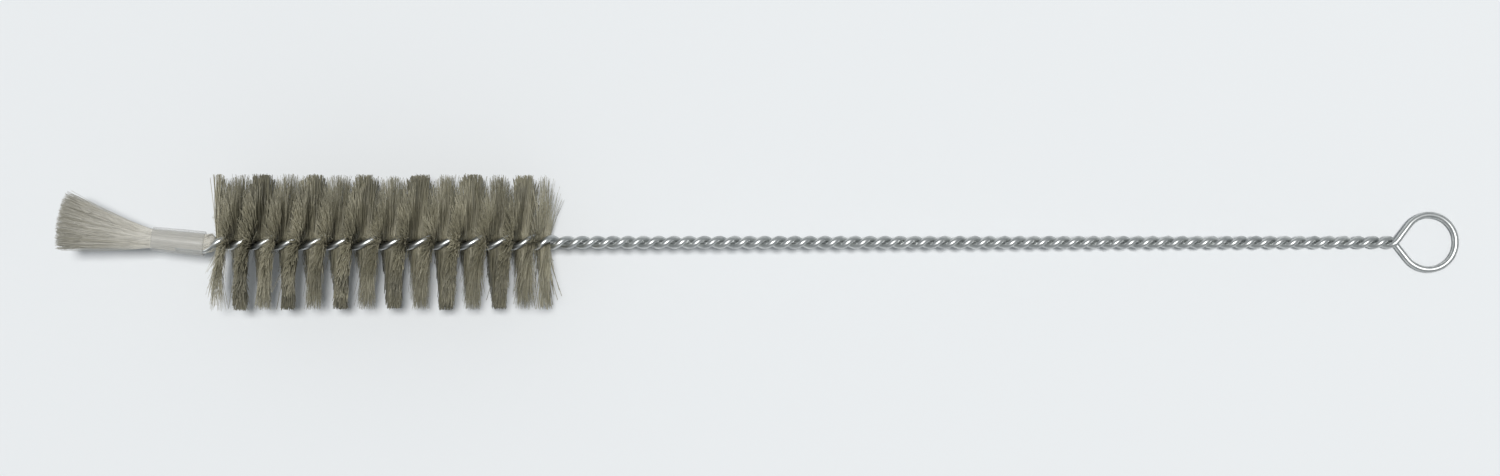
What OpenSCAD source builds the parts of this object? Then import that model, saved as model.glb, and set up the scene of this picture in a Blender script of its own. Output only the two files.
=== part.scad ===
// Test tube brush. One wire is folded into a hanging ring, and its two legs are twisted together
// over a layer of bristles, which the twist spreads into a double spiral. The leg ends hold a
// folded bundle of soft fibres in a plastic sleeve. Millimetres. The brush lies on z = 0 as it
// comes to rest, on the bristles and the ring, with the ring toward +X.

/* [Wire] */
// Diameter of the wire
wire_d = 1.2; // [0.9:0.1:1.6]
// Inside diameter of the hanging ring
ring_d = 9.05; // [6:0.05:20]
// Angle at which each leg leaves the stem for the ring
ring_fork = 52; // [40:1:60]
// Length of the twisted stem, from the ring to the bristles
stem_l = 157.4; // [80:0.2:260]
// Length of one full turn of the legs in the stem
stem_lay = 5.575; // [4.5:0.005:8]

/* [Bristle head] */
// Diameter of the head over the bristle ends
head_d = 25; // [16:0.5:50]
// Length of the head along the wire
head_l = 61.3; // [35:0.1:110]
// Length of one full turn of the legs in the head
head_lay = 9.57; // [7.5:0.01:12]
// Length of one full turn at the tip end of the head, where the twist is tighter again
tip_lay = 8; // [7:0.1:12]
// Length over which the twist tightens toward the tip
tight_l = 20; // [10:0.5:24]
// Length over which the twist slackens between the stem and the head
slack_l = 8; // [6:0.5:16]
// Thickness of the layer of bristles between the legs
pinch_t = 0.5; // [0.3:0.05:0.8]
// Width of one row of bristles along the wire, at the bristle ends
row_w = 3; // [2:0.1:3.6]
// How far the shortest bristles fall short of the head's diameter
ragged = 0.7; // [0:0.1:1.5]

/* [Tip sleeve] */
// Length of bare wire between the head and the sleeve
neck_l = 1.6; // [1.6:0.1:6]
// Length of the sleeve
sleeve_l = 9.4; // [7:0.1:16]
// Wall of the sleeve
sleeve_wall = 0.4; // [0.25:0.05:0.8]
// Length of the leg ends inside the sleeve
grip_l = 5; // [3:0.1:6.5]
// Angle by which the sleeve leans to the side
tip_lean = 6; // [0:0.1:10]
// Distance by which the sleeve's inner end sits off the axis
tip_drop = 0.45; // [0:0.05:0.6]

/* [Tip tuft] */
// Diameter of the fibre bundle in the sleeve's mouth
root_d = 3.4; // [2.4:0.1:4]
// Thickness of the folded fibres between the leg ends
fold_t = 1.3; // [1:0.05:1.5]
// Length of the fold that shows behind the sleeve
fold_l = 1.5; // [0.4:0.1:1.5]
// Free length of the fibres
tuft_l = 16.8; // [8:0.2:30]
// Angle across the fan of fibres, seen from above
fan_wide = 22; // [4:1:40]
// Angle across the fan of fibres, seen from the side
fan_deep = 16; // [4:1:40]
// Angle by which the fan bends to the side, against the sleeve
fan_bend = 5.6; // [0:0.1:15]

/* [Fit] */
// Clearance between pieces that touch
fit = 0.03; // [0.02:0.01:0.06]

/* [Hidden] */

// Fineness of the facets
wire_sides = 6;
wire_step = 45;
ring_steps = 26;
lock_step = 16;
tuft_sides = 24;

// Stations along the wire, counted from the crossing at the ring toward the tip
slack_start = stem_l - slack_l / 10;
slack_end = slack_start + slack_l;
head_end = stem_l + head_l;
tight_start = head_end - tight_l;
sleeve_start = head_end + neck_l;
legs_end = sleeve_start + grip_l;
mouth = sleeve_start + sleeve_l;

// Twist of the legs in degrees a millimetre
stem_rate = 360 / stem_lay;
head_rate = 360 / head_lay;
tip_rate = 360 / tip_lay;

// Distance from the axis to the centre of a leg, with the room that its straight facets cut off
wire_r = wire_d / 2;
chord = cos(wire_step / 2);
stem_leg = (wire_r + fit) / chord;
head_leg = (wire_r + pinch_t / 2) / chord;
tip_leg = wire_r + fold_t / 2;

// The ring's legs run straight from the crossing into the round. Its path is counted in radii
ring_r = (ring_d + wire_d) / 2;
ring_x = ring_r / sin(ring_fork);
ring_straight = 1 / tan(ring_fork);
ring_level = 2.5;
ring_arc = (180 + 2 * ring_fork) * PI / 180;
ring_path = 2 * ring_straight + ring_arc;

// The layer of bristles is thin between the legs and opens beyond them
head_r = head_d / 2;
layer_h = pinch_t / 2 - fit;
layer_u = 0.85 * wire_d;
open_from_legs = 1.5;
open_u = pinch_t / 2 + wire_d + open_from_legs;
open_share = 0.65;
groove_share = 0.7;
row_share = 0.8;
fill_start = stem_l + row_w / 2;
fill_end = head_end - row_w / 2;
locks = ceil((twist(fill_end) - twist(fill_start)) / lock_step);
short = rands(0, ragged, 2 * (locks + 1), 7);

// The bore of the sleeve holds the leg ends with the fold, and narrows to the mouth
bore_r = fold_t / 2 + wire_d + fit;
mouth_r = root_d / 2 + fit;
leg_room = 0.7 * wire_d + fit;
fold_stations = [0.97, 0.8, 0.45];
fold_blunt = 3;
shortest_fibre = 0.06;
fibre_short = rands(0, shortest_fibre, tuft_sides, 3);
fan_stations = [0.1, 0.35, 0.7, 1];
fan_curl = 0.25;
lock_depth = 0.12;
crown_share = 0.5;

// At rest the lowest bristle end and the far side of the ring touch the ground
ring_end = ring_x + ring_r;
tilt = max([for (i = [0:locks], p = lock_section(i)) rest_tilt(p)]);
tip_x = head_end + (neck_l + sleeve_l) * cos(tip_lean) + tuft_l;
middle_x = (ring_end + wire_r - tip_x) / 2;

// Rises from 0 to 1 between two stations, smoothly
function rise(s, from, to) =
    let (t = max(0, min(1, (s - from) / (to - from))))
    t * t * (3 - 2 * t);

// Area under a straight ramp from 0 to 1 between two stations
function ramp_area(s, from, to) =
    s <= from ? 0 :
    s >= to ? s - (from + to) / 2 :
    pow(s - from, 2) / (2 * (to - from));

// Turn of the legs at a station, in degrees: even in the stem, slack in the head, none in the sleeve
function twist(s) =
    stem_rate * s
    + (head_rate - stem_rate) * ramp_area(s, slack_start, slack_end)
    + (tip_rate - head_rate) * ramp_area(s, tight_start, head_end)
    - tip_rate * ramp_area(s, head_end, sleeve_start);

// Length of half a turn at a station of the head
function half_lay(s) =
    let (
        slack = max(0, min(1, (s - slack_start) / slack_l)),
        tight = max(0, min(1, (s - tight_start) / tight_l)))
    180 / (stem_rate + (head_rate - stem_rate) * slack + (tip_rate - head_rate) * tight);

// Distance from the axis to the centre of a leg at a station
function leg_r(s) =
    stem_leg
    + (head_leg - stem_leg) * rise(s, stem_l - row_w / 2, fill_start)
    + (tip_leg - head_leg) * rise(s, head_end, sleeve_start);

// From one leg to the other across the axis, and along the layer of bristles between them
function across(s) = [0, -sin(twist(s)), cos(twist(s))];
function along(s) = [0, cos(twist(s)), sin(twist(s))];

// A point beside a station. Past the head it leans with the sleeve
function at(s, off) =
    let (t = max(0, s - head_end))
    t == 0 ? [-s, 0, 0] + off :
    [
        -head_end - t * cos(tip_lean) + off.y * sin(tip_lean),
        t * sin(tip_lean) + off.y * cos(tip_lean) - tip_drop * rise(s, head_end, sleeve_start),
        off.z
    ];

// Stations from one to another, with the legs turning about one facet step between two of them
function stations(from, to, step) =
    let (n = max(1, ceil((twist(to) - twist(from)) / step)))
    [for (i = [0:n - 1]) from + (to - from) * i / n];

leg_stations = concat(
    stations(0, slack_start, wire_step),
    stations(slack_start, slack_end, wire_step),
    stations(slack_end, tight_start, wire_step),
    stations(tight_start, head_end, wire_step),
    stations(head_end, sleeve_start, wire_step / 4),
    [sleeve_start, legs_end]);

// The ring's centre line, in shares of its length, from the front leg round to the back leg
function ring_point(share) =
    let (
        p = share * ring_path,
        q = ring_path - p,
        z = stem_leg * (rise(q, 0, ring_level) - rise(p, 0, ring_level)))
    p < ring_straight ? [p * ring_r * cos(ring_fork), p * ring_r * sin(ring_fork), z] :
    q < ring_straight ? [q * ring_r * cos(ring_fork), -q * ring_r * sin(ring_fork), z] :
    let (a = 90 + ring_fork - (p - ring_straight) * 180 / PI)
    [ring_x + ring_r * cos(a), ring_r * sin(a), z];

// Places of the wire's sections, each with the direction that its flat faces
legs_n = len(leg_stations);
wire_places = concat(
    [for (i = [legs_n - 1:-1:0]) let (s = leg_stations[i]) at(s, leg_r(s) * across(s))],
    [for (i = [1:ring_steps - 1]) ring_point(i / ring_steps)],
    [for (s = leg_stations) at(s, -leg_r(s) * across(s))]);
wire_flats = concat(
    [for (i = [legs_n - 1:-1:0]) across(leg_stations[i])],
    [for (i = [1:ring_steps - 1]) [0, 0, 1]],
    [for (s = leg_stations) across(s)]);

function unit(v) = v / norm(v);

// One section of the wire, square to its path
function wire_section(i) =
    let (
        last = len(wire_places) - 1,
        ahead = unit(wire_places[min(i + 1, last)] - wire_places[max(i - 1, 0)]),
        flat = unit(wire_flats[i] - (wire_flats[i] * ahead) * ahead),
        side = cross(flat, ahead))
    [for (k = [0:wire_sides - 1])
        let (a = (k + 0.5) * 360 / wire_sides)
        wire_places[i] + wire_r * (flat * cos(a) + side * sin(a))];

// One lock of bristles: a thin web between the legs that opens into a row on both sides.
// One face runs from -u to u, the other back, so that opposite points close the ends
function lock_section(i) =
    let (
        s = fill_start + (fill_end - fill_start) * i / locks,
        share = i % 2 == 0 ? 1 : groove_share,
        row = min(row_w, row_share * half_lay(s)) / 2 * share,
        lower = [-head_r + short[2 * i], 0, row],
        upper = [head_r - short[2 * i + 1], 0, row],
        web = [for (u = [-layer_u, 0, layer_u]) [u, layer_h, 0]],
        profile = concat(
            [lower, [-open_u, 0, row * open_share]],
            web,
            [[open_u, 0, row * open_share], upper]))
    concat(
        [for (p = profile) at(s + sign(p[0]) * p[2], p[0] * along(s) + p[1] * across(s))],
        [for (k = [len(profile) - 1:-1:0])
            let (p = profile[k])
            at(s - sign(p[0]) * p[2], p[0] * along(s) - p[1] * across(s))]);

// Radius of the sleeve's bore at a station
function bore(s) =
    s <= legs_end ? bore_r : bore_r + (mouth_r - bore_r) * (s - legs_end) / (mouth - legs_end);

// Free distance from the axis to a leg, in a direction given from the line between the legs
function leg_free(s, a) =
    let (near = abs(cos(a)), off = leg_r(s) * sin(a))
    abs(off) >= leg_room ? bore_r :
    max(layer_h, leg_r(s) * near - sqrt(pow(leg_room, 2) - pow(off, 2)));

// One section of the bundle in and behind the sleeve, of a given radius, with room for the legs
function root_section(s, radius, legs) =
    [for (k = [0:tuft_sides - 1])
        let (
            a = k * 360 / tuft_sides,
            r = legs ? min(radius, leg_free(s, a)) : radius)
        at(s, r * (across(s) * cos(a) - along(s) * sin(a)))];

// One section of the free fibres, at a share of their length and of the bundle's width
function fan_section(share, width) =
    [for (k = [0:tuft_sides - 1])
        let (
            a = k * 360 / tuft_sides,
            dir = across(mouth) * cos(a) - along(mouth) * sin(a),
            open = width * (1 - lock_depth * share * (k % 2)),
            curl = pow(share, fan_curl),
            yaw = (fan_bend + fan_wide / 2 * dir.y * open) * curl,
            pitch = fan_deep / 2 * dir.z * open * curl,
            l = tuft_l * share * (1 - fibre_short[k]),
            r = root_d / 2 * width)
        at(mouth + l * cos(yaw) * cos(pitch), r * dir + [0, l * sin(yaw), l * sin(pitch)])];

fold_sections = [
    for (t = fold_stations)
        root_section(
            sleeve_start - fold_l * t,
            (bore_r - fit) * pow(1 - pow(t, fold_blunt), 1 / fold_blunt),
            true)];
bundle_sections = [
    root_section(sleeve_start, bore_r - fit, true),
    root_section(legs_end + fit, bore(legs_end + fit) - fit, true),
    root_section(legs_end + wire_r, bore(legs_end + wire_r) - fit, false),
    root_section(mouth, mouth_r - fit, false)];
fan_sections = [for (share = fan_stations) fan_section(share, 1)];

// Tilt at which a point of the head would touch the ground with the ring
function rest_tilt(p) =
    let (l = ring_end - p.x)
    atan2(-p.z, l) - asin(wire_r / norm([l, p.z]));

// Skin through sections of equal count. Each four points are split along the shorter diagonal, and
// both ends are closed by strips between opposite points
module loft(sections) {
    n = len(sections[0]);
    last = (len(sections) - 1) * n;
    points = [for (section = sections) each section];
    sides = [
        for (i = [0:len(sections) - 2], k = [0:n - 1])
            let (
                a = i * n + k,
                b = i * n + (k + 1) % n,
                falls = norm(points[a] - points[b + n]) < norm(points[b] - points[a + n]))
            each falls
                ? [[a, b, b + n], [a, b + n, a + n]]
                : [[a, b, a + n], [b, b + n, a + n]]];
    first_end = [
        for (k = [0:n / 2 - 2])
            each [[k, n - 1 - k, k + 1], [k + 1, n - 1 - k, n - 2 - k]]];
    last_end = [for (f = first_end) [f[0] + last, f[2] + last, f[1] + last]];
    polyhedron(
        points = points,
        faces = concat(sides, first_end, last_end),
        convexity = 10);
}

// Lays the brush on the ground, with the middle of its length over the origin
module as_it_lies() {
    translate([-middle_x * cos(tilt), 0, wire_r + ring_end * sin(tilt)])
        rotate([0, tilt, 0])
            children();
}

// Galvanised wire: leg, ring and leg as one swept length
module twisted_wire() {
    color("#aab0b2")
        as_it_lies()
            loft([for (i = [0:len(wire_places) - 1]) wire_section(i)]);
}

// Natural bristles, caught across their middle between the legs
module bristle_spiral() {
    color("#6b6758")
        as_it_lies()
            loft([for (i = [0:locks]) lock_section(i)]);
}

// Translucent plastic tube, shrunk over the leg ends and down to the fibres at its mouth
module tip_sleeve() {
    color("#d8d6cf")
        as_it_lies()
            translate(at(sleeve_start, [0, 0, 0]))
                rotate([0, -90, -tip_lean])
                    rotate_extrude($fn = 48)
                        polygon([
                            [bore_r, 0],
                            [bore_r + sleeve_wall, 0],
                            [bore_r + sleeve_wall, grip_l],
                            [mouth_r + sleeve_wall, sleeve_l],
                            [mouth_r, sleeve_l],
                            [bore_r, grip_l]
                        ]);
}

// Soft white fibres: the fold between the legs, the bundle in the sleeve and the open fan
module tip_tuft() {
    color("#d3cdc0")
        as_it_lies()
            loft(concat(fold_sections, bundle_sections, fan_sections, [fan_section(1, crown_share)]));
}

twisted_wire();
bristle_spiral();
tip_sleeve();
tip_tuft();
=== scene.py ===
"""Test tube brush: twisted galvanised wire, natural bristles and a soft white fibre tip.

Sizes are in millimetres. A station is a distance along the brush from the crossing at the ring.
"""

import math

import bpy
import numpy as np
from mathutils import Matrix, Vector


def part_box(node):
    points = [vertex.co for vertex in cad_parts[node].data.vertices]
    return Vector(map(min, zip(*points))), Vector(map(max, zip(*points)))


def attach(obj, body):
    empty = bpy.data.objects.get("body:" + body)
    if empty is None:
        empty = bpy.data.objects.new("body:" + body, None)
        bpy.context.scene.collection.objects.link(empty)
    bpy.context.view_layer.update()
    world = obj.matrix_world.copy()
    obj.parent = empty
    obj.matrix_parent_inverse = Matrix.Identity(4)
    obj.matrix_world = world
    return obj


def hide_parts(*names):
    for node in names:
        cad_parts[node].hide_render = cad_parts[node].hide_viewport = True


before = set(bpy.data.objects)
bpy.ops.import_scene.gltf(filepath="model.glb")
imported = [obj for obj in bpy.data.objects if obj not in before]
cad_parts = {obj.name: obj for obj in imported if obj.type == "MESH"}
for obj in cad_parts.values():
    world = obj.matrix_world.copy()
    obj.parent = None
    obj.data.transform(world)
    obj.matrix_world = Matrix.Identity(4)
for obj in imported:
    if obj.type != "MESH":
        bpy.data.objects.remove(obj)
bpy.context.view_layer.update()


# Twisted wire. One length of bright galvanised steel wire, folded in the middle into the hanging
# ring. Its two legs are twisted together left-handed, tightly in the stem and more slackly over
# the bristles, and their cut ends lie straight inside the sleeve at the tip.
wire_d = 1.2
wire_r = wire_d / 2
ring_r = 5.125
ring_fork = math.radians(52)  # each leg's angle to the stem
stem_l = 157.4
stem_lay = 5.575  # one full turn of the legs
head_l = 61.3
head_lay = 9.57
tip_lay = 8.0
slack_l = 8.0  # over which the twist slackens into the head
tight_l = 20.0  # over which it tightens again toward the tip
pinch_t = 0.5  # between the legs, where the bristles are
row_w = 3.0  # one row of bristles, at its ends
neck_l = 1.6  # bare wire between the head and the sleeve
grip_l = 5.0  # leg ends inside the sleeve
fold_t = 1.3  # folded fibres between the leg ends
tip_lean = math.radians(6)
tip_drop = 0.45  # of the sleeve's inner end, off the axis
tilt = math.radians(3.837)  # of the brush as it lies on its head and its ring
slack_start = stem_l - slack_l / 10
head_end = stem_l + head_l
sleeve_start = head_end + neck_l
legs_end = sleeve_start + grip_l
leg_gap = 0.03  # from the axis to each leg
stem_leg = wire_r + leg_gap
head_leg = wire_r + pinch_t / 2
tip_leg = wire_r + fold_t / 2
ring_x = ring_r / math.sin(ring_fork)
ring_end = ring_x + ring_r


def rise(s, start, end):
    """From 0 to 1 between two stations, smoothly."""
    t = np.clip((s - start) / (end - start), 0, 1)
    return t * t * (3 - 2 * t)


def ramp_area(s, start, end):
    """Area under a straight ramp from 0 to 1 between two stations."""
    t = np.clip(s, start, end) - start
    return t * t / (2 * (end - start)) + np.maximum(s - end, 0)


def twist(s):
    """Turn of the two legs at a station, in radians."""
    stem_rate, head_rate, tip_rate = (2 * math.pi / lay for lay in (stem_lay, head_lay, tip_lay))
    turn = stem_rate * s
    turn = turn + (head_rate - stem_rate) * ramp_area(s, slack_start, slack_start + slack_l)
    turn = turn + (tip_rate - head_rate) * ramp_area(s, head_end - tight_l, head_end)
    return turn - tip_rate * ramp_area(s, head_end, sleeve_start)


def leg_radius(s):
    """Distance from the axis to the middle of a leg."""
    opened = rise(s, stem_l - row_w / 2, stem_l + row_w / 2)
    forked = rise(s, head_end, sleeve_start)
    return stem_leg + (head_leg - stem_leg) * opened + (tip_leg - head_leg) * forked


def offset(s, y, z):
    """Points off the axis. Past the head they lean with the sleeve."""
    past = np.maximum(s - head_end, 0)
    lean = np.where(past > 0, tip_lean, 0)
    drop = tip_drop * rise(s, head_end, sleeve_start)
    x = -np.minimum(s, head_end) - past * np.cos(lean) + y * np.sin(lean)
    return np.stack(np.broadcast_arrays(x, past * np.sin(lean) + y * np.cos(lean) - drop, z), -1)


def turned(s, across, along):
    """Side and height of a place across from leg to leg and along the layer between the legs."""
    turn = twist(s)
    return along * np.cos(turn) - across * np.sin(turn), along * np.sin(turn) + across * np.cos(turn)


def beside(s, across, along):
    """Points beside the axis that turn with the legs."""
    return offset(s, *turned(s, across, along))


ring_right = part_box("twisted_wire")[1][0] * 1000
crossing_x = ring_right - wire_r - ring_end * math.cos(tilt)
crossing_z = wire_r + ring_end * math.sin(tilt)
lying = (
    Matrix.Scale(0.001, 4)
    @ Matrix.Translation((crossing_x, 0, crossing_z))
    @ Matrix.Rotation(tilt, 4, "Y")
)


def laid(points):
    """Points of the brush as it lies on the ground, in metres."""
    return points @ np.array(lying.to_3x3()).T + np.array(lying.translation)


def ring_line(count):
    """Middle line of the ring: two straight legs that part at the crossing, joined by a round.

    The way along it is counted in ring radii, and the legs come level over the first few of them.
    """
    straight = 1 / math.tan(ring_fork)
    arc = math.pi + 2 * ring_fork
    level = 2.5
    gone = np.linspace(0, 2 * straight + arc, count)
    left = gone[::-1]
    leg = np.minimum(gone, left)
    side = np.where(gone < left, 1, -1)
    angle = math.pi / 2 + ring_fork - (gone - straight)
    on_leg = leg < straight
    x = np.where(on_leg, leg * math.cos(ring_fork) * ring_r, ring_x + ring_r * np.cos(angle))
    y = np.where(on_leg, side * leg * math.sin(ring_fork) * ring_r, ring_r * np.sin(angle))
    z = stem_leg * (rise(left, 0, level) - rise(gone, 0, level))
    return np.stack([x, y, z], -1)


steps_per_turn = 28
ring_steps = 90
stem_stations = np.arange(0, slack_start, stem_lay / steps_per_turn)
head_stations = np.arange(slack_start, legs_end, tip_lay / steps_per_turn)
stations = np.concatenate([stem_stations, head_stations, [legs_end]])
front_leg = beside(stations, leg_radius(stations), 0)
back_leg = beside(stations, -leg_radius(stations), 0)
wire_line = laid(np.concatenate([front_leg[::-1], ring_line(ring_steps)[1:-1], back_leg]))
wire_curve = bpy.data.curves.new("twisted_wire_line", "CURVE")
wire_curve.dimensions = "3D"
wire_curve.bevel_depth = wire_r / 1000
wire_curve.bevel_resolution = 3
wire_curve.use_fill_caps = True
wire_spline = wire_curve.splines.new("POLY")
wire_spline.points.add(len(wire_line) - 1)
wire_spline.points.foreach_set("co", np.c_[wire_line, np.ones(len(wire_line))].ravel())
wire = bpy.data.objects.new("galvanised_wire", wire_curve)
bpy.context.collection.objects.link(wire)
bpy.ops.object.select_all(action="DESELECT")
wire.select_set(True)
bpy.context.view_layer.objects.active = wire
bpy.ops.object.convert(target="MESH")
bpy.ops.object.shade_smooth()


def linear(code):
    """An sRGB hex colour as the linear values that a shader takes."""
    parts = [int(code[i:i + 2], 16) / 255 for i in (1, 3, 5)]
    return [c / 12.92 if c < 0.04045 else ((c + 0.055) / 1.055) ** 2.4 for c in parts] + [1.0]


def add(nodes, kind, inputs=None, **settings):
    """Adds one node with its settings. An input is a value, or a socket to link from."""
    node = nodes.new(kind)
    for name, value in settings.items():
        setattr(node, name, value)
    for name, value in (inputs or {}).items():
        if isinstance(value, bpy.types.NodeSocket):
            nodes.id_data.links.new(value, node.inputs[name])
        else:
            node.inputs[name].default_value = value
    return node


def new_material(name):
    """An empty material and its nodes."""
    made = bpy.data.materials.new(name)
    made.use_nodes = True
    made.node_tree.nodes.clear()
    return made, made.node_tree.nodes


def set_stops(ramp, stops):
    """Sets a colour ramp's stops from pairs of place and hex colour."""
    while len(ramp.elements) < len(stops):
        ramp.elements.new(1)
    for element, (place, code) in zip(ramp.elements, stops):
        element.position = place
        element.color = linear(code)


# Bright galvanised steel: drawn wire with a thin zinc coat. It shines in soft streaks along each
# strand, with patches of duller zinc and a fine pitting of the coat.
zinc_patch_w = 1.5
zinc_pit_w = 0.4
zinc_pit_depth = 0.02
zinc, nodes = new_material("bright_galvanised_steel")
place = add(nodes, "ShaderNodeTexCoord")
patch = add(
    nodes, "ShaderNodeTexNoise",
    {"Vector": place.outputs["Object"], "Scale": 1000 / zinc_patch_w, "Detail": 4.0})
zinc_tone = add(nodes, "ShaderNodeValToRGB", {"Fac": patch.outputs["Fac"]})
set_stops(zinc_tone.color_ramp, [(0.3, "#b4b7b7"), (0.7, "#d6d8d6")])
zinc_rough = add(
    nodes, "ShaderNodeMapRange",
    {"Value": patch.outputs["Fac"], "From Min": 0.3, "From Max": 0.7, "To Min": 0.46, "To Max": 0.34})
pitting = add(
    nodes, "ShaderNodeTexNoise",
    {"Vector": place.outputs["Object"], "Scale": 1000 / zinc_pit_w, "Detail": 2.0})
pits = add(
    nodes, "ShaderNodeBump",
    {"Height": pitting.outputs["Fac"], "Strength": 0.25, "Distance": zinc_pit_depth / 1000})
shader = add(
    nodes, "ShaderNodeBsdfPrincipled",
    {"Base Color": zinc_tone.outputs["Color"], "Metallic": 1.0, "Roughness": zinc_rough.outputs["Result"],
     "Normal": pits.outputs["Normal"]})
add(nodes, "ShaderNodeOutputMaterial", {"Surface": shader.outputs["BSDF"]})
wire.data.materials.append(zinc)
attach(wire, "root")
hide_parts("twisted_wire")


# Bristles. Natural hog bristles, laid across between the two legs before the twist, which grips
# them by the middle and spreads them into a double spiral. All lie the same way round, so one
# spiral shows the thick, straight-cut butts and the other the thin, uneven natural tips, or flags.
head_r = 12.5
bristle_count = 11400
bristle_d = 0.13
butt_d = 0.12
flag_d = 0.05
layer_t = 0.32  # of the bristles in the grip
lock_l = 0.42  # along the wire
end_room = 0.5
rng = np.random.default_rng(7)


def pick(group, low, high):
    """One random value for each group, handed to its members."""
    return rng.uniform(low, high, group.max() + 1)[group]


def half_lay(s):
    """Length of half a turn at a station of the head."""
    slack = np.clip((s - slack_start) / slack_l, 0, 1)
    tight = np.clip((s - head_end + tight_l) / tight_l, 0, 1)
    return 0.5 / (1 / stem_lay + (1 / head_lay - 1 / stem_lay) * slack + (1 / tip_lay - 1 / head_lay) * tight)


def hair_mesh(name, paths, diameters, marks):
    """One mesh of three-sided hairs, from the points of each hair. Marks become attributes."""
    hairs, rings = paths.shape[:2]
    ahead = np.gradient(paths, axis=1)
    ahead /= np.linalg.norm(ahead, axis=-1, keepdims=True)
    side = np.cross(ahead, rng.normal(size=(hairs, 1, 3)))
    side /= np.linalg.norm(side, axis=-1, keepdims=True)
    up = np.cross(ahead, side)
    angles = np.arange(3)[:, None] * 2 * math.pi / 3
    circle = np.cos(angles) * side[:, :, None] + np.sin(angles) * up[:, :, None]
    corners = paths[:, :, None] + circle * np.broadcast_to(diameters, paths.shape[:2])[..., None, None] / 2
    points = laid(corners.reshape(-1, 3))
    points[:, 2] = np.maximum(points[:, 2], 0)
    first = np.arange(hairs * rings).reshape(hairs, rings, 1) * 3
    here = (first + np.arange(3))[:, :-1]
    beyond = (first + np.array([1, 2, 0]))[:, :-1]
    walls = np.stack([here, beyond, beyond + 3, here + 3], -1).reshape(-1, 4)
    roots = first[:, 0] + np.array([2, 1, 0])
    ends = first[:, -1] + np.array([0, 1, 2])
    made = bpy.data.meshes.new(name)
    made.from_pydata(points, [], walls.tolist() + roots.tolist() + ends.tolist())
    for mark, values in marks.items():
        at_rings = np.broadcast_to(values, paths.shape[:2])[..., None]
        at_corners = np.broadcast_to(at_rings, corners.shape[:3]).astype(np.float32)
        made.attributes.new(mark, "FLOAT", "POINT").data.foreach_set("value", at_corners.ravel())
    made.shade_smooth()
    hair = bpy.data.objects.new(name, made)
    bpy.context.collection.objects.link(hair)
    return hair


# Each bristle gives two halves, a butt one way and a flag the other. They belong to a row of the
# spiral and to a lock of bristles that cling together. The end rows hold fewer, and are looser.
stem_loose_l = 10.0
stem_lead = 2.0  # looseness grows to its full this far outside the head
stem_full = 0.2
tip_loose_l = 5.0
tip_lead = 1.0
tip_full = 0.45
row_full = (0.85, 1.05)
flag_full = 0.85
root_s = np.repeat(rng.uniform(stem_l + end_room, head_end - end_room, bristle_count), 2)
way = np.tile([1.0, -1.0], bristle_count)
turn_row = (twist(root_s) / math.pi + 0.5).astype(int)
turn_row = (turn_row - turn_row.min()) * 2 + (way > 0)
lock = ((root_s - stem_l) / lock_l).astype(int) * 2 + (way > 0)
from_stem = rise(root_s, stem_l - stem_lead, stem_l + stem_loose_l)
from_tip = rise(head_end - root_s, -tip_lead, tip_loose_l)
end_full = np.minimum(stem_full + (1 - stem_full) * from_stem, tip_full + (1 - tip_full) * from_tip)
fullness = end_full * pick(turn_row, *row_full)
kept = rng.random(len(root_s)) < fullness * np.where(way > 0, 1, flag_full)
root_s, way, turn_row, lock, from_stem, from_tip = (
    values[kept] for values in (root_s, way, turn_row, lock, from_stem, from_tip))
count = len(root_s)
butt = way > 0

# How far each half leans along the brush. Spread, shift and splay are shares of half a row's
# width: its own place in the row, that of its lock, and its own error, large in a few strays.
butt_spread = 0.78
flag_spread = 0.84
lock_shift = 0.13
butt_splay = 0.07
flag_splay = 0.16
stem_splay = 0.6
tip_splay = 0.2
stray_splay = 0.6
stray_share = 0.012
row_fill = 0.8  # of half a turn, at most
stem_overhang = 0.4
tip_overhang = 0.3
stray = rng.random(count) < stray_share
splay = np.where(butt, butt_splay, flag_splay) + stem_splay * (1 - from_stem)
splay = splay + tip_splay * (1 - from_tip) + stray_splay * stray
spread = np.where(butt, butt_spread, flag_spread) * rng.uniform(-1, 1, count)
row_half = np.minimum(row_w, row_fill * half_lay(root_s)) / 2
lean = row_half * (spread + pick(lock, -lock_shift, lock_shift) + splay * rng.normal(size=count))
lean = lean - stem_overhang * (1 - from_stem)
lean = np.minimum(lean, head_end - root_s + tip_overhang * np.abs(rng.normal(size=count)))

# The ends are trimmed to the head's radius. Butts are nearly even and flags are not, and rows and
# locks fall short a little too. Each half also sways out of its layer, and strays sway more.
sway = 0.06
stray_sway = 0.06
trim_over = 0.1
row_short = 0.25
lock_short = 0.35
butt_short = 0.9
butt_even = 3  # the higher, the fewer fall short
flag_short = 2.8
flag_even = 2.1
swing = (sway + stray_sway * stray) * rng.normal(size=count)
butt_cut = butt_short * rng.random(count) ** butt_even
flag_cut = flag_short * rng.random(count) ** flag_even
length = head_r + trim_over - pick(turn_row, 0, row_short) - pick(lock, 0, lock_short)
length = length - np.where(butt, butt_cut, flag_cut)

# The rows tip a little, their tops toward the tip end, so that the gaps between them stay open
# from above. They tip most by the stem and not at all at the tip end.
row_tip = 0.05
tipped = row_tip * (head_end - root_s) / head_l
lean = lean + tipped * length * way * np.sin(twist(root_s))

# Each half has four points: their share of its length, how far it has opened from the grip there,
# and how much of its bow it has there.
bow_along = 0.25
bow_across = 0.5
share = np.array([0.0, 0.13, 0.48, 1.0])
opened = np.array([0.0, 0.06, 0.4, 1.0])
bowed = np.array([0.0, 0.3, 1.0, 0.0])
bow_s, bow_turn = rng.normal(0, bow_along, count), rng.normal(0, bow_across, count)
reach = length[:, None] * share
across = layer_t / 2 * (spread * way)[:, None] * (1 - opened)
across = across + reach * swing[:, None] + bow_turn[:, None] * bowed
bristle_paths = beside(root_s[:, None], across, reach * way[:, None])
bristle_paths[..., 0] -= lean[:, None] * opened + bow_s[:, None] * bowed
end_d = np.where(butt, butt_d, flag_d)[:, None]
hair_d = bristle_d + (end_d - bristle_d) * share

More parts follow.
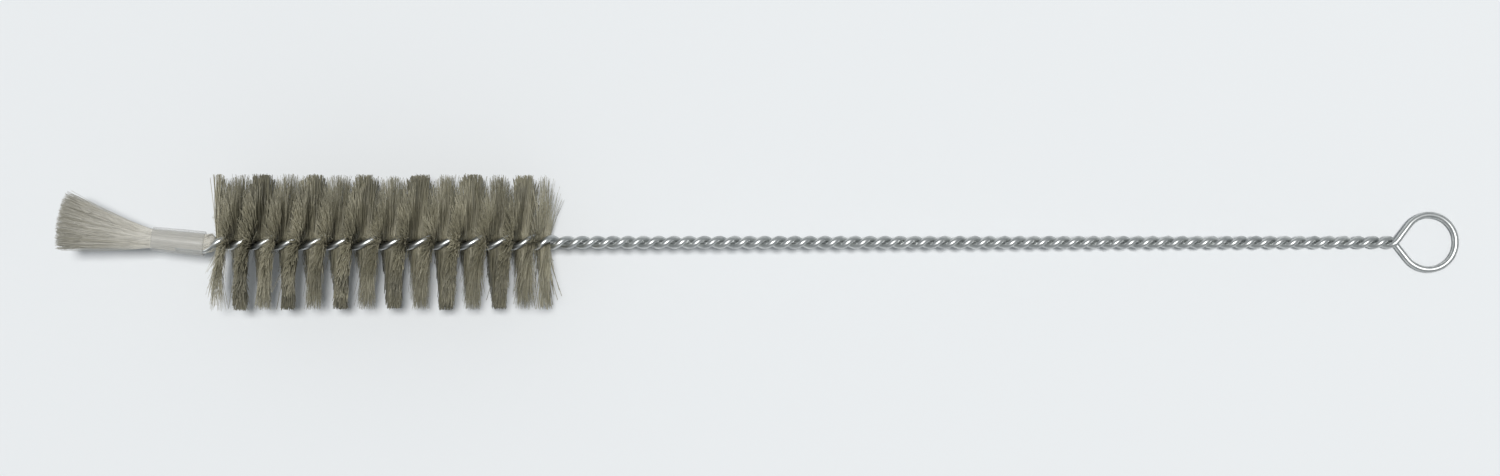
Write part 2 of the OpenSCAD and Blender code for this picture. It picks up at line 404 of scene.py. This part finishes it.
# Tone runs from dark at 0 to pale at 1. Locks, rows and hairs differ, and the end rows are painted paler:
# painted light, as their sparse hairs let light through. Each half also fades from its root to its end,
# down toward a butt as painted shade, where the butts crowd and shade each other, and up toward a flag.
mid_tone = 0.5
lock_tone = 0.2
row_tone = 0.06
hair_tone = 0.16
# painted light: the end rows are made paler
end_painted_light = 0.3
butt_tone = -0.03
flag_tone = 0.04
# painted shade: each butt half darkens toward its end
butt_painted_shade = -0.4
flag_fade = 0.9
tone = mid_tone + pick(lock, -lock_tone, lock_tone) + pick(turn_row, -row_tone, row_tone)
tone = tone + rng.normal(0, hair_tone, count) + end_painted_light * (1 - np.minimum(from_stem, from_tip))
tone = np.clip(tone + np.where(butt, butt_tone, flag_tone), 0, 1)[:, None]
bristle_fade_and_shade = np.where(butt, butt_painted_shade, flag_fade)[:, None] * share
near_stem = root_s < stem_l + head_l / 2
bristle_halves = [
    hair_mesh(name, bristle_paths[half], hair_d[half], {"tone": tone[half], "out": bristle_fade_and_shade[half]})
    for name, half in (("hog_bristles_by_stem", near_stem), ("hog_bristles_by_tip", ~near_stem))]

# Natural hog bristle: stiff horn-like hairs from dark grey to straw, each of its own tone, paler
# toward the tip, with painted shade toward the butt and painted light on the end rows, and the dull shine of
# horn.
horn_fade_and_shade = 0.12
horn, nodes = new_material("natural_hog_bristle")
tone_mark = add(nodes, "ShaderNodeAttribute", attribute_name="tone")
out_mark = add(nodes, "ShaderNodeAttribute", attribute_name="out")
# painted shade and light: the fade along each hair darkens butts, and the tone mark holds the paler end rows
tone_and_painted_light = add(
    nodes, "ShaderNodeMath",
    {0: out_mark.outputs["Fac"], 1: horn_fade_and_shade, 2: tone_mark.outputs["Fac"]}, operation="MULTIPLY_ADD")
horn_tone = add(nodes, "ShaderNodeValToRGB", {"Fac": tone_and_painted_light.outputs["Value"]})
set_stops(
    horn_tone.color_ramp,
    [(0.0, "#5d5a4b"), (0.4, "#7d7966"), (0.7, "#98937d"), (1.0, "#bab59f")])
shader = add(
    nodes, "ShaderNodeBsdfPrincipled",
    {"Base Color": horn_tone.outputs["Color"], "Roughness": 0.45, "IOR": 1.55})
add(nodes, "ShaderNodeOutputMaterial", {"Surface": shader.outputs["BSDF"]})
for bristles in bristle_halves:
    bristles.data.materials.append(horn)
    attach(bristles, "root")
    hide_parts("bristle_spiral")


# Tip tuft. A bundle of soft white fibres, laid between the two leg ends and folded forward, so
# each fibre runs out through the sleeve on both sides of the fold and fans out at the tip.
sleeve_l = 9.4
mouth = sleeve_start + sleeve_l
root_r = 1.7
bundle_r = fold_t / 2 + wire_d
packing = 0.95
fibre_count = 1100
fibre_d = 0.09
fibre_room = 0.08
leg_room = wire_r + fibre_room
tuft_l = 16.8
fan_wide = math.radians(22)
fan_deep = math.radians(16)
fan_bend = math.radians(5.6)
fibre_loose = 0.03
stray_loose = 0.04
stray_fibres = 0.03
early_bend = 0.25
fibre_short = 0.1
fibre_wave = 0.2
free_share = np.array([0.0, 0.3, 0.65, 1.0])


def free_end(across, along):
    """Points from the sleeve's mouth to the free end, for places in the bundle given in radii.

    Each fibre strays a little from the fan, bends mostly near the mouth and ends a little short.
    """
    y, z = turned(mouth, across, along)
    loose = fibre_loose + stray_loose * (rng.random(fibre_count) < stray_fibres)
    bent = free_share[:, None] ** early_bend
    yaw = (fan_bend + fan_wide / 2 * y + loose * rng.normal(size=fibre_count)) * bent
    pitch = (fan_deep / 2 * z + loose * rng.normal(size=fibre_count)) * bent
    gone = free_share[:, None] * tuft_l * (1 - fibre_short * rng.random(fibre_count) ** 2)
    wave = np.sin(math.pi * free_share)[:, None] * rng.normal(0, fibre_wave, (2, 1, fibre_count))
    s = mouth + gone * np.cos(yaw) * np.cos(pitch)
    return offset(s, root_r * y + gone * np.sin(yaw) + wave[0], root_r * z + gone * np.sin(pitch) + wave[1])


def beside_legs(across, along):
    """Place between and around the leg ends, for a place in the bundle in radii."""
    along = bundle_r * along * packing
    between = tip_leg - np.sqrt(np.maximum(leg_room ** 2 - along ** 2, 0))
    around = np.sqrt(bundle_r ** 2 - along ** 2)
    return packing * across * np.where(np.abs(along) < leg_room, between, around), along


# Each fibre comes in from one free end on one side of the legs, turns back in the fold behind the
# sleeve, where the legs nip it, and goes out to the other free end on the other side.
from_middle = np.sqrt(rng.random((2, fibre_count)))
round_turn = rng.uniform(-1, 1, (2, fibre_count)) * math.pi / 2
fibre_along = from_middle * np.cos(round_turn) * np.array([[1], [-1]])
fibre_across = from_middle * np.sin(round_turn)
tips = [free_end(fibre_across[i], fibre_along[i]) for i in (0, 1)]

past_legs = 0.3
above_zero = 1e-6
widest = np.sqrt(1 - fibre_along ** 2 + above_zero)
held_across, held_along = beside_legs(fibre_across / widest, fibre_along)
held_s = np.full(fibre_count, legs_end + past_legs)
held = [beside(held_s, held_across[i], held_along[i]) for i in (0, 1)]

fold_l = 2.1
inner_fold = 0.4
fold_round = 0.55
nip_round = 0.4
fold_turn = np.radians(np.arange(0, 181, 30))[:, None]
coming = fold_turn < math.pi / 2
fold_out = np.where(coming, np.abs(held_along[0]), np.abs(held_along[1]))
fold_back = fold_l * (inner_fold + (1 - inner_fold) * np.abs(held_along[0]) / bundle_r)
fold_s = sleeve_start - fold_back * np.sin(fold_turn) ** fold_round
nip = rng.uniform(-1, 1, fibre_count) * (leg_radius(fold_s) - leg_room)
free_of_nip = np.abs(np.cos(fold_turn)) ** nip_round
fold_across = np.where(coming, held_across[0], held_across[1])
fold_across = fold_across * free_of_nip + nip * (1 - free_of_nip)
fold = beside(fold_s, fold_across, fold_out * np.cos(fold_turn))

fibre_taper = 0.3
fibre_mid_tone = 0.4
fibre_hair_tone = 0.16
fibre_paths = np.concatenate([tips[0][::-1], held[0][None], fold, held[1][None], tips[1]])
fibre_out = np.concatenate([free_share[::-1], np.zeros(len(fold_turn) + 2), free_share])
fibre_tone = np.clip(rng.normal(fibre_mid_tone, fibre_hair_tone, fibre_count), 0, 1)
tuft = hair_mesh(
    "white_fibre_tuft", fibre_paths.transpose(1, 0, 2), fibre_d * (1 - fibre_taper * fibre_out),
    {"tone": fibre_tone[:, None], "out": fibre_out})

# Soft white fibre: fine and matt, off-white at the root and greyer toward the free ends. Here
# tone runs the other way, from pale to grey.
fleece_fade = 0.45
fleece, nodes = new_material("soft_white_fibre")
tone_mark = add(nodes, "ShaderNodeAttribute", attribute_name="tone")
out_mark = add(nodes, "ShaderNodeAttribute", attribute_name="out")
greyer = add(
    nodes, "ShaderNodeMath",
    {0: out_mark.outputs["Fac"], 1: fleece_fade, 2: tone_mark.outputs["Fac"]}, operation="MULTIPLY_ADD")
fleece_tone = add(nodes, "ShaderNodeValToRGB", {"Fac": greyer.outputs["Value"]})
set_stops(fleece_tone.color_ramp, [(0.1, "#e4e1d9"), (0.55, "#d1cec4"), (1.0, "#a9a596")])
shader = add(
    nodes, "ShaderNodeBsdfPrincipled",
    {"Base Color": fleece_tone.outputs["Color"], "Roughness": 0.6, "IOR": 1.5})
add(nodes, "ShaderNodeOutputMaterial", {"Surface": shader.outputs["BSDF"]})
tuft.data.materials.append(fleece)
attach(tuft, "root")
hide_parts("tip_tuft")


# Tip sleeve. A short piece of clear plastic tube, shrunk over the leg ends and the folded fibres,
# and a little narrower at its mouth, where only the fibres are inside.
sleeve_wall = 0.4
sleeve_fit = 0.03
sleeve_sides = 48
rim_round = 0.1
shrink = 0.03  # at the leg ends
held_r = bundle_r + sleeve_fit + sleeve_wall
legs_end_r = held_r - shrink
mouth_r = root_r + sleeve_fit + sleeve_wall
sleeve_rings = [
    (0.0, held_r), (0.5 * grip_l, held_r), (grip_l, legs_end_r),
    (0.75 * sleeve_l, (held_r + mouth_r) / 2), (sleeve_l, mouth_r)]
bpy.ops.object.select_all(action="DESELECT")
bpy.ops.mesh.primitive_circle_add(vertices=sleeve_sides, radius=held_r)
sleeve = bpy.context.object
sleeve.name = "clear_sleeve"
bpy.ops.object.mode_set(mode="EDIT")
bpy.ops.mesh.select_all(action="SELECT")
for (here, this_r), (there, next_r) in zip(sleeve_rings, sleeve_rings[1:]):
    bpy.ops.mesh.extrude_region_move(TRANSFORM_OT_translate={"value": (0, 0, there - here)})
    bpy.ops.transform.resize(value=(next_r / this_r, next_r / this_r, 1))
bpy.ops.mesh.select_all(action="SELECT")
bpy.ops.mesh.normals_make_consistent(inside=False)
bpy.ops.object.mode_set(mode="OBJECT")
wall = sleeve.modifiers.new("wall", "SOLIDIFY")
wall.thickness = sleeve_wall
wall.offset = -1
rim = sleeve.modifiers.new("rim", "BEVEL")
rim.width = rim_round
rim.segments = 2
bpy.ops.object.modifier_apply(modifier="wall")
bpy.ops.object.modifier_apply(modifier="rim")
bpy.ops.object.shade_smooth_by_angle(angle=math.radians(40))
to_axis = Matrix.Rotation(-tip_lean, 4, "Z") @ Matrix.Rotation(-math.pi / 2, 4, "Y")
sleeve.matrix_world = lying @ Matrix.Translation(offset(np.array(sleeve_start), 0, 0)) @ to_axis
bpy.ops.object.transform_apply(location=True, rotation=True, scale=True)

# Clear soft PVC: waxy and half see-through, a little cloudy where it was shrunk, so that the white
# fibres show softly through it.
cloud_w = 1.5
clear, nodes = new_material("soft_clear_pvc")
place = add(nodes, "ShaderNodeTexCoord")
cloud = add(
    nodes, "ShaderNodeTexNoise",
    {"Vector": place.outputs["Object"], "Scale": 1000 / cloud_w, "Detail": 3.0})
clear_tone = add(nodes, "ShaderNodeValToRGB", {"Fac": cloud.outputs["Fac"]})
set_stops(clear_tone.color_ramp, [(0.3, "#c9c8c3"), (0.7, "#d9d8d3")])
shader = add(
    nodes, "ShaderNodeBsdfPrincipled",
    {"Base Color": clear_tone.outputs["Color"], "Roughness": 0.34, "IOR": 1.53, "Alpha": 0.28})
add(nodes, "ShaderNodeOutputMaterial", {"Surface": shader.outputs["BSDF"]})
sleeve.data.materials.append(clear)
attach(sleeve, "root")
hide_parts("tip_sleeve")


# Studio. A plain pale floor, one soft key light above the brush and a pale room all round. Its
# sizes and places are in metres.
floor_w = 6
floor_drop = 0.0001
bpy.ops.object.select_all(action="DESELECT")
bpy.ops.mesh.primitive_plane_add(size=floor_w, location=(0, 0, -floor_drop))
floor = bpy.context.object
floor.name = "floor"
paper, nodes = new_material("pale_paper")
shader = add(nodes, "ShaderNodeBsdfPrincipled", {"Base Color": linear("#e2e4e5"), "Roughness": 0.8})
add(nodes, "ShaderNodeOutputMaterial", {"Surface": shader.outputs["BSDF"]})
floor.data.materials.append(paper)

key_light = bpy.data.lights.new("key", "AREA")
key_light.energy = 132
key_light.size = 0.5
key = bpy.data.objects.new("key", key_light)
key.location = (0.26, 0.28, 4)
bpy.context.collection.objects.link(key)

room = bpy.data.worlds.new("room")
room.use_nodes = True
nodes = room.node_tree.nodes
nodes.clear()
sky = add(nodes, "ShaderNodeTexCoord")
height = add(nodes, "ShaderNodeSeparateXYZ", {"Vector": sky.outputs["Generated"]})
room_tone = add(nodes, "ShaderNodeValToRGB", {"Fac": height.outputs["Z"]})
set_stops(room_tone.color_ramp, [(0.0, "#cfd2d4"), (0.45, "#9fa3a6"), (1.0, "#7f8386")])
background = add(nodes, "ShaderNodeBackground", {"Color": room_tone.outputs["Color"], "Strength": 0.85})
add(nodes, "ShaderNodeOutputWorld", {"Surface": background.outputs["Background"]})
bpy.context.scene.world = room

# Camera. Straight above the brush, and close enough for the raised head to look larger. Its places
# are in metres, and its focal length is in pixels of an image this wide.
image_w = 1500
focal_px = 2393
camera_h = 0.45
camera_x = -0.0041
camera_y = 0.0008
view = bpy.data.cameras.new("camera")
view.sensor_width = 36
view.lens = focal_px / image_w * view.sensor_width
view.clip_start = 0.01
camera = bpy.data.objects.new("camera", view)
camera.location = (camera_x, camera_y, camera_h)
bpy.context.collection.objects.link(camera)
bpy.context.scene.camera = camera
bpy.context.scene.view_settings.view_transform = "Standard"
